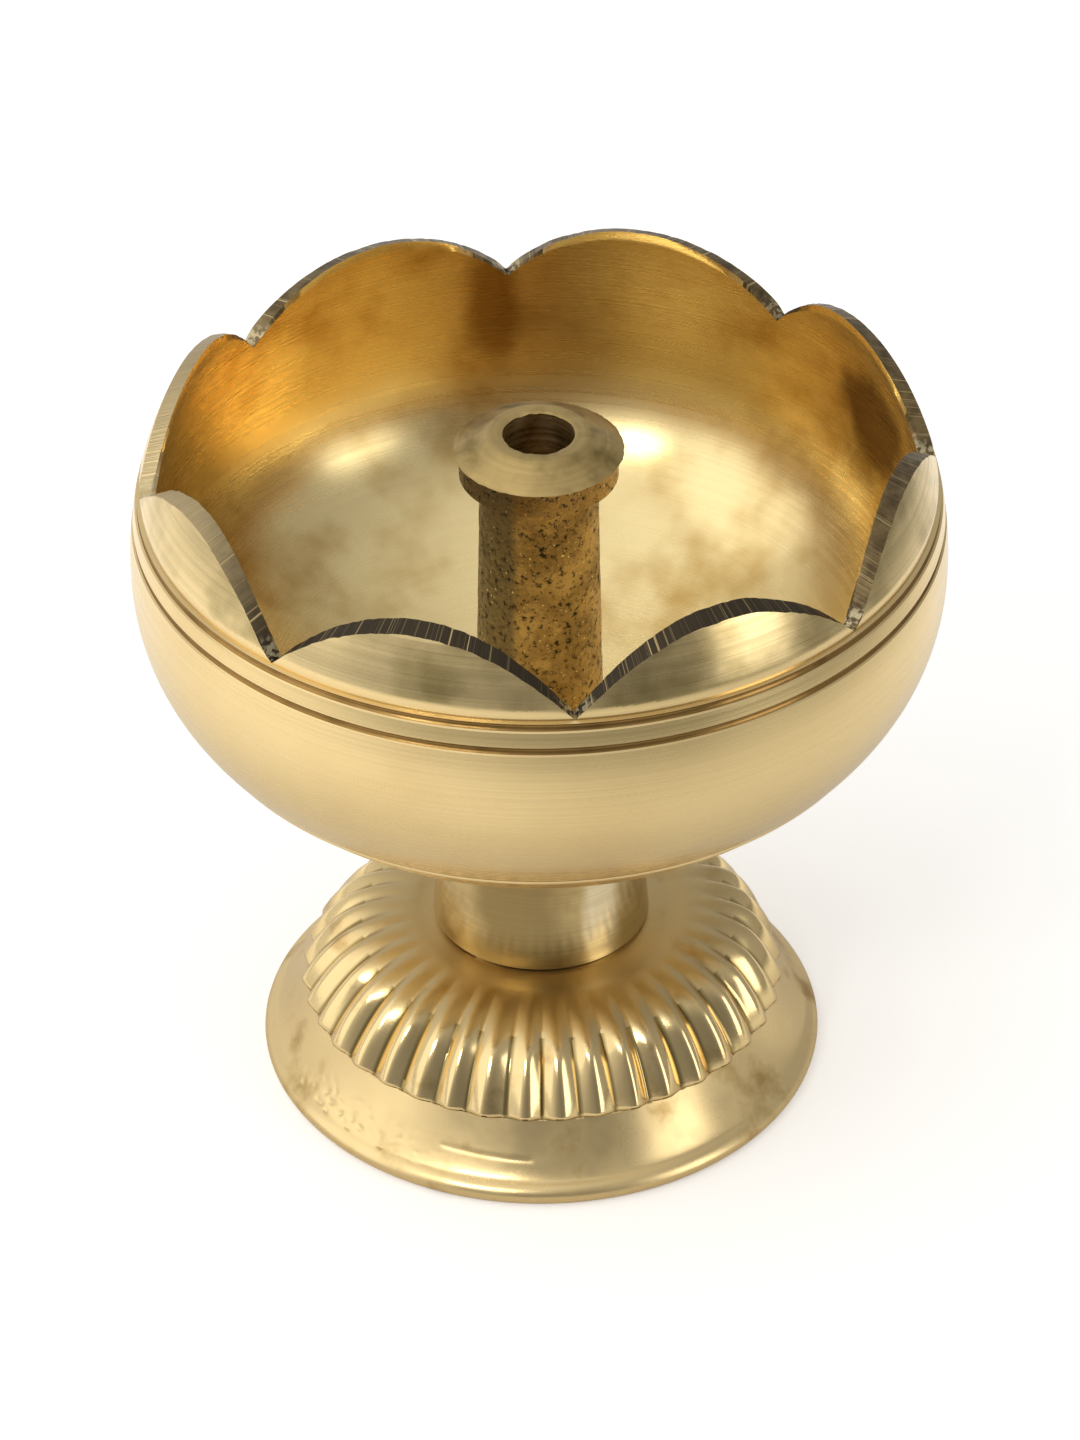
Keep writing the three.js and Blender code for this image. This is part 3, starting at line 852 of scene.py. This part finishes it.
def shape_bowl(angle, radius, height):
    """Draws the rings above the grooves down to the sawn outline and marks the outside."""
    outside = radius > outer_radius(height) - 0.6 and height > bowl_seat + 1
    if height > petal_root:
        share = (height - petal_root) / (petal_tip - petal_root)
        level = radius - crown_radius(height)
        lowered = petal_root + share * (rim_height(angle) - petal_root)
        lowered -= min(share, 1) ** 3 * saw_marks(angle, level)
        radius += crown_radius(lowered) - crown_radius(height)
        height = lowered
    if outside:
        radius += wall_marks(height)
    return angle, radius, height


def bowl_side(angle, radius, height, normal):
    """0 outside, 1 inside the basin, 2 on the sawn rim, 3 outside a petal, 4 in a groove."""
    depth = outer_radius(height) - radius
    near_rim = height > petal_root and abs(height - rim_height(angle)) < 1.0
    if near_rim and 0.06 < depth < BOWL_WALL - 0.06 and normal.z > 0.3:
        return 2
    if depth > 0.6 * BOWL_WALL:
        return int(height > bowl_floor - 0.1)
    in_groove = height > belly and depth > 0.19 and height < petal_root - 0.1
    in_low_line = abs(height - LOW_LINE) < 0.15
    if in_groove or in_low_line:
        return 4
    return 3 if height > petal_root + SHOULDER_HEIGHT - 0.2 else 0


bowl = turn("bowl_shell", bowl_profile(), PETAL_COUNT * PETAL_COLUMNS)
bowl.rotation_euler.z = math.radians(NOTCH_TURN)
bpy.ops.object.transform_apply(location=False, rotation=True, scale=False)
move_vertices(bowl, shape_bowl)
paint_faces(bowl, (bowl_satin, basin_satin, rim_sawn, petal_rubbed, groove_grimy), bowl_side)
finish_piece(bowl, "bowl", "bowl", crease=30)


# %% [markdown]
# The wick holder
#
# A column turned from bar, rough on its sides, with a conical head and a drilled hole for the
# wick. The head's rim overhangs its side a little, where the tool raised a burr. Its threaded
# tail goes down through the bowl's floor into the stem.

# %% Wick holder
head_radius, tail_end, holder_top = box_sizes("wick_holder")
HEAD_CONE_HEIGHT = 1.58
HEAD_DISC_HEIGHT = 2.4
HEAD_DISC_RADIUS = 6.8
HEAD_FLAT_RADIUS = 4.3
WICK_BORE = 3.08
WICK_DEPTH = 14.0
COLUMN_TOP_RADIUS = 5.05
COLUMN_BASE_RADIUS = 5.6
THREAD_RADIUS = 2.85
THREAD_PITCH = 1.0
THREAD_DEPTH = 0.45

shoulder = box_sizes("seal_washer")[2] + 0.05


def holder_profile():
    """Tail, column, head and bore."""
    rim = holder_top - HEAD_CONE_HEIGHT
    disc = rim - HEAD_DISC_HEIGHT
    corners = [(COLUMN_BASE_RADIUS, shoulder), (COLUMN_TOP_RADIUS, disc), (HEAD_DISC_RADIUS, disc),
               (HEAD_DISC_RADIUS, rim - 0.3), (head_radius, rim), (HEAD_FLAT_RADIUS, holder_top),
               (WICK_BORE, holder_top), (WICK_BORE, holder_top - WICK_DEPTH)]
    drawn = [corners[0]]
    for start, end in zip(corners, corners[1:]):
        drawn += straight(start, end, max(1, round(math.dist(start, end) / 0.3)))
    tail = [(0, tail_end), (THREAD_RADIUS - 0.5, tail_end)]
    tail += along(96, lambda t: (THREAD_RADIUS, mix(tail_end + 0.5, shoulder, t)))
    return tail + drawn + [(0, holder_top - WICK_DEPTH - WICK_BORE / 2)]


def shape_holder(angle, radius, height):
    """Helical thread on the tail, pits on the column, and a worn, burred head."""
    x, y = radius * math.sin(angle), -radius * math.cos(angle)
    disc = holder_top - HEAD_CONE_HEIGHT - HEAD_DISC_HEIGHT
    if tail_end + 0.4 < height < shoulder - 0.6 and radius > THREAD_RADIUS - 0.1:
        turned = (height / THREAD_PITCH - angle / math.tau) % 1
        radius -= THREAD_DEPTH * abs(2 * turned - 1)
    elif shoulder + 0.2 < height < disc - 0.05 and radius > COLUMN_TOP_RADIUS - 0.2:
        radius += 0.05 * wobble(x * 0.8, y * 0.8, height * 0.5, 2.0)
        radius -= 0.16 * max(0, wobble(x * 2.2, y * 2.2, height * 1.8, 6.0) - 0.12)
    elif radius > head_radius - 0.4 and height > disc + 1:
        radius -= 0.1 + 0.1 * wobble(x * 1.6, y * 1.6, height, 3.0)
    elif abs(radius - WICK_BORE) < 0.05 and height > holder_top - 0.1:
        height -= 0.12 + 0.1 * wobble(x * 2, y * 2, 0, 5.0)
    return angle, radius, height


holder = turn("wick_holder_turned", holder_profile(), 128)
move_vertices(holder, shape_holder)


def holder_side(angle, radius, height, normal):
    """0 as turned, 1 the column and the head's side, 2 inside the drilled bore."""
    if radius < WICK_BORE + 0.05 and height > holder_top - WICK_DEPTH - 0.1:
        return 2
    return int(shoulder + 0.1 < height < holder_top - HEAD_CONE_HEIGHT - 0.35 and normal.z > -0.7)


paint_faces(holder, (head_turned, column_skin, bore_drilled), holder_side)
finish_piece(holder, "wick_holder", "wick_holder", crease=35)


# %% [markdown]
# The seal and the fastenings
#
# A fibre washer under the wick holder's shoulder keeps the oil in, and a hex bolt with a steel
# washer pulls the foot against the stem from below. A punched washer has one rounded edge and one
# sharp one. The bolt's head is turned first too: pulling its round corners in to six flats, with
# a cone's edge left on top, is how the real one gets its chamfer.

# %% Washers
WASHER_HOLE = 3.2
ROUNDED = 0.25               # how far a punch rounds a washer's edge


def washer_profile(node, hole):
    """A flat ring with its upper outer edge rounded by the punch."""
    outer, low, high = box_sizes(node)
    return [(hole, low), (outer - 0.08, low), (outer, low + 0.08), (outer, high - ROUNDED),
            (outer - 0.08, high - 0.08), (outer - ROUNDED, high), (hole + 0.1, high),
            (hole, high - 0.1), (hole, low)]


def make_washer(name, node, body, hole, material):
    piece = turn(name, washer_profile(node, hole), 96)
    piece.data.materials.append(material)
    finish_piece(piece, node, body, crease=30)


make_washer("seal_washer_fibre", "seal_washer", "seal_washer", WASHER_HOLE, fibre)
make_washer("foot_washer_steel", "foot_washer", "pedestal", WASHER_HOLE, steel)

# %% Foot bolt
bolt_low, bolt_end = box_sizes("foot_bolt")[1:]
BOLT_HEAD = 4.0
BOLT_ACROSS_FLATS = 10.0
BOLT_CHAMFER = 0.55
bolt_corner = BOLT_ACROSS_FLATS / 2 / math.cos(math.pi / 6)


def bolt_profile():
    """Head with a chamfered lower edge, a neck and a shank long enough for its thread."""
    seat = bolt_low + BOLT_HEAD
    flat = BOLT_ACROSS_FLATS / 2
    head = [(0, bolt_low), (flat - 0.25, bolt_low), (flat, bolt_low + 0.15),
            (bolt_corner, bolt_low + BOLT_CHAMFER), (bolt_corner, seat - 0.1),
            (bolt_corner - 0.1, seat), (THREAD_RADIUS, seat)]
    shank = along(100, lambda t: (THREAD_RADIUS, mix(seat, bolt_end - 0.4, t)))
    return head + shank[1:] + [(THREAD_RADIUS - 0.5, bolt_end), (0, bolt_end)]


def shape_bolt(angle, radius, height):
    """Six flats on the head and a thread on the shank."""
    seat = bolt_low + BOLT_HEAD
    if height < seat + 0.01 and radius > THREAD_RADIUS + 0.1:
        from_flat = angle % (math.pi / 3) - math.pi / 6
        radius = min(radius, BOLT_ACROSS_FLATS / 2 / math.cos(from_flat))
    elif seat + 1 < height < bolt_end - 0.3 and radius > THREAD_RADIUS - 0.1:
        turned = (height / THREAD_PITCH - angle / math.tau) % 1
        radius -= THREAD_DEPTH * abs(2 * turned - 1)
    return angle, radius, height


foot_bolt = turn("foot_bolt_hex", bolt_profile(), 96)
move_vertices(foot_bolt, shape_bolt)
foot_bolt.data.materials.append(steel)
finish_piece(foot_bolt, "foot_bolt", "pedestal", crease=25)


# %% [markdown]
# The room
#
# Brass shows its surroundings more than itself, so the room matters as much as the metal. The
# lamp stands on a pale sheet. A wide soft box lights it from the left, with two small brighter
# lamps nearer the front, and a narrow tall box stands at the front right. Between them, where
# someone would stand with a camera, the room is darker, and so is the right side. Those dark
# parts give the brass its depth. The camera itself sees only a plain pale background.

# %% Pale floor
# Painted light on the sheet, for reflections only: its tone is a painted pool of light behind the lamp's
# left, and it glows though it is no lamp, except near the lamp, a painted shadow. For the camera the
# sheet is evenly pale.
SHEET_MIDDLE = (-0.14, 0.16, 0)      # metres: the sheet is brightest behind the lamp's left
SHEET_EDGE = (0.24, 0.44)            # metres from there: its tone falls off between these
SHEET_GLOW = (0.03, 0.12)            # metres from the lamp: it glows a little beyond its shadow


def make_floor():
    deselect_all()
    bpy.ops.mesh.primitive_plane_add(size=6, location=(0, 0, 0))
    floor = bpy.context.object
    floor.name = "studio_floor"
    material, tree, shader = new_material("studio_floor", {
        "Roughness": 0.95, "Specular IOR Level": 0.0})
    place = add(tree, "ShaderNodeTexCoord").outputs["Object"]
    away = add(tree, "ShaderNodeVectorMath", {"operation": "DISTANCE", 1: SHEET_MIDDLE},
               {0: place}).outputs["Value"]
    # Painted pool of light, seen in reflections: the tone darkens away from behind the lamp's left.
    far = mixed_colour(tree, ranged(tree, away, *SHEET_EDGE), "#eeedeb", "#75756f")
    seen = add(tree, "ShaderNodeLightPath").outputs["Is Camera Ray"]
    tone = mixed_colour(tree, seen, far, "#f4f3f1")
    from_axis = add(tree, "ShaderNodeVectorMath", {"operation": "LENGTH"}, {0: place}).outputs["Value"]
    # Painted glow for reflections, with none near the lamp: a painted shadow round its foot.
    glow = ranged(tree, from_axis, *SHEET_GLOW, 0.0, 0.56)
    shown = add(tree, "ShaderNodeMix", {"data_type": "FLOAT", "B": 0.4},
                {"Factor": seen, "A": glow}).outputs[0]
    drive(tree, shader, Base_Color=tone, Emission_Color=tone, Emission_Strength=shown)
    floor.data.materials.append(material)


make_floor()


# %% Walls of the room
def make_world():
    """Pale for the camera; for reflections lighter on the left, darker at the front and right."""
    world = bpy.data.worlds.new("studio")
    bpy.context.scene.world = world
    world.use_nodes = True
    tree = world.node_tree
    way = add(tree, "ShaderNodeTexCoord").outputs["Generated"]
    parts = add(tree, "ShaderNodeSeparateXYZ", links={0: way})
    side = ranged(tree, parts.outputs["X"], -0.9, 0.9, 0.85, 0.42)
    front = ranged(tree, parts.outputs["Y"], -0.92, -0.5, 0.45, 1.0)
    around = add(tree, "ShaderNodeMath", {"operation": "MULTIPLY"}, {0: side, 1: front}).outputs["Value"]
    overhead = ranged(tree, parts.outputs["Z"], 0.7, 0.95, 1.0, 1.4)
    wall = add(tree, "ShaderNodeMath", {"operation": "MULTIPLY"},
               {0: around, 1: overhead}).outputs["Value"]
    tone = add(tree, "ShaderNodeCombineColor", links={0: wall, 1: wall, 2: wall}).outputs["Color"]
    seen = add(tree, "ShaderNodeLightPath").outputs["Is Camera Ray"]
    colour = mixed_colour(tree, seen, tone, "#ffffff")
    tree.links.new(colour, tree.nodes["Background"].inputs["Color"])


make_world()


# %% Soft boxes
def soft_box(name, azimuth, elevation, distance, size, radiance):
    """A soft box aimed at the lamp; azimuth runs from the front of the lamp to its right."""
    turned, lifted = math.radians(azimuth), math.radians(elevation)
    way = Vector((math.sin(turned) * math.cos(lifted), -math.cos(turned) * math.cos(lifted),
                  math.sin(lifted)))
    light = bpy.data.lights.new(name, "AREA")
    light.shape = "RECTANGLE"
    light.size, light.size_y = size
    light.energy = radiance * math.pi * size[0] * size[1]
    lamp = bpy.data.objects.new(name, light)
    bpy.context.scene.collection.objects.link(lamp)
    lamp.location = Vector((0, 0, 0.045)) + way * distance
    lamp.rotation_euler = way.to_track_quat("Z", "Y").to_euler()


soft_box("left_box", -76, 30, 0.8, (0.72, 0.8), 0.54)
soft_box("hot_lamp", -35, 38, 0.8, (0.1, 0.1), 19.0)
soft_box("second_lamp", -20, 41, 0.8, (0.11, 0.11), 13.0)
soft_box("right_strip", 58, 10, 0.8, (0.3, 0.62), 2.1)
bpy.context.scene.view_settings.view_transform = "Standard"
